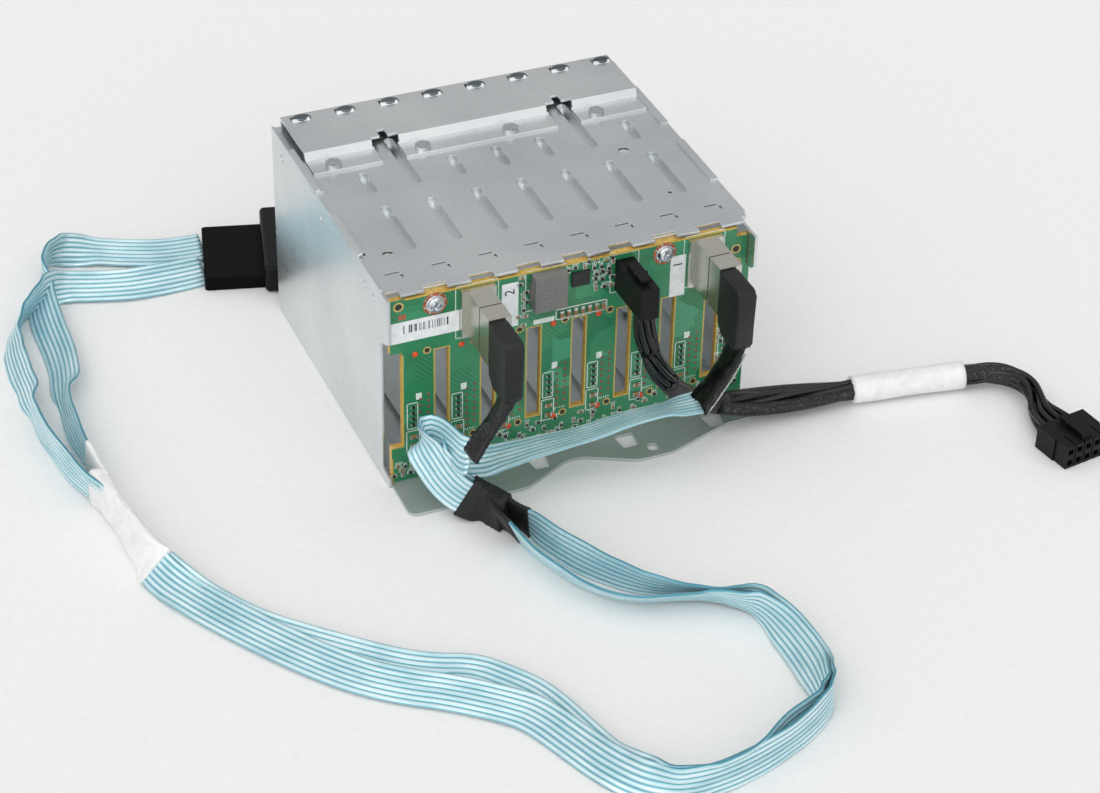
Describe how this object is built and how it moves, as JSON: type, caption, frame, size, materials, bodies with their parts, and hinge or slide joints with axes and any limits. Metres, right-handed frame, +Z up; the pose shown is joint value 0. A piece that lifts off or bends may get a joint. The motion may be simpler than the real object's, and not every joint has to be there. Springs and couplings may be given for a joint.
{
  "type": "hot swap drive cage",
  "caption": "Sheet-steel cage for upright 2.5 inch drives, with a backplane, two ribbon leads to a double-width plug and a power lead.",
  "frame": {"origin": "centre of the cage's box on the surface that it stands on, leaving out the cords and what is on them", "axes": "+Z up, +Y out of the open drive side, -Y the backplane and cable side, +X to the right seen from the cable side"},
  "size_m": [0.367, 0.3726, 0.0876],
  "materials": {
    "zinc_steel": "zinc plated",
    "hood_steel": "zinc plated",
    "rivet_steel": "plain",
    "green_board": "solder mask",
    "screw_steel": "nickel plated",
    "black_nylon": "moulded",
    "nickel_shell": "nickel plated",
    "black_overmold": "moulded",
    "black_wrap": "shrink tube and tape",
    "blue_ribbon": "clear jacket",
    "white_wrap": "satin",
    "black_wire": "insulated wire",
    "ferrite": "pressed ferrite",
    "chip_epoxy": "moulded"
  },
  "bodies": {
    "cage": {"backplane_board": "green_board", "black_tape_wrap": "black_wrap", "board_screw_1": "screw_steel", "board_screw_2": "screw_steel", "cage_bottom_panel": "zinc_steel", "cage_left_side_panel": "zinc_steel", "cage_right_side_panel": "zinc_steel", "cage_top_panel": "zinc_steel", "drive_connector_1": "black_nylon", "drive_connector_2": "black_nylon", "drive_connector_3": "black_nylon", "drive_connector_4": "black_nylon", "drive_connector_5": "black_nylon", "drive_connector_6": "black_nylon", "drive_connector_7": "black_nylon", "drive_connector_8": "black_nylon", "end_plug_body": "black_nylon", "front_hood_bracket": "hood_steel", "hood_rivet_1": "rivet_steel", "hood_rivet_2": "rivet_steel", "hood_rivet_3": "rivet_steel", "hood_rivet_4": "rivet_steel", "lead_end_sleeve": "black_wrap", "lead_label_sleeve": "white_wrap", "port_shield_1": "nickel_shell", "port_shield_2": "nickel_shell", "power_header": "black_nylon", "power_inductor": "ferrite", "power_lead": "black_wire", "power_plug_body": "black_nylon", "regulator_chip": "chip_epoxy", "sas_overmold_1": "black_overmold", "sas_overmold_2": "black_overmold", "sas_plug_shell_1": "nickel_shell", "sas_plug_shell_2": "nickel_shell", "sas_ribbon_1": "blue_ribbon", "sas_ribbon_2": "blue_ribbon", "sas_sleeve_1": "black_wrap", "sas_sleeve_2": "black_wrap", "white_tape_wrap": "white_wrap", "wide_plug_body": "black_overmold", "wide_plug_collar": "black_overmold", "wide_plug_nose_1": "nickel_shell", "wide_plug_nose_2": "nickel_shell"},
    "power_latch": {"power_plug_latch": "black_nylon"},
    "wide_latch": {"wide_plug_latch": "nickel_shell"},
    "end_latch": {"end_plug_latch": "black_nylon"}
  },
  "joints": [
    {"name": "power_latch_press", "type": "hinge", "parent": "cage", "child": "power_latch", "pos_m": [0.0205, -0.06575, 0.0792], "axis": [1, 0, 0], "range_deg": [0, 5], "stiffness_Nm_per_rad": 0.02},
    {"name": "wide_latch_lift", "type": "hinge", "parent": "cage", "child": "wide_latch", "pos_m": [-0.05505, 0.10278, 0.0115], "axis": [-0.2643, -0.9644, 0], "range_deg": [0, 4], "stiffness_Nm_per_rad": 0.02},
    {"name": "end_latch_press", "type": "hinge", "parent": "cage", "child": "end_latch", "pos_m": [0.17389, -0.12273, 0.0112], "axis": [-0.9889, -0.1489, 0], "range_deg": [0, 5], "stiffness_Nm_per_rad": 0.02}
  ]
}
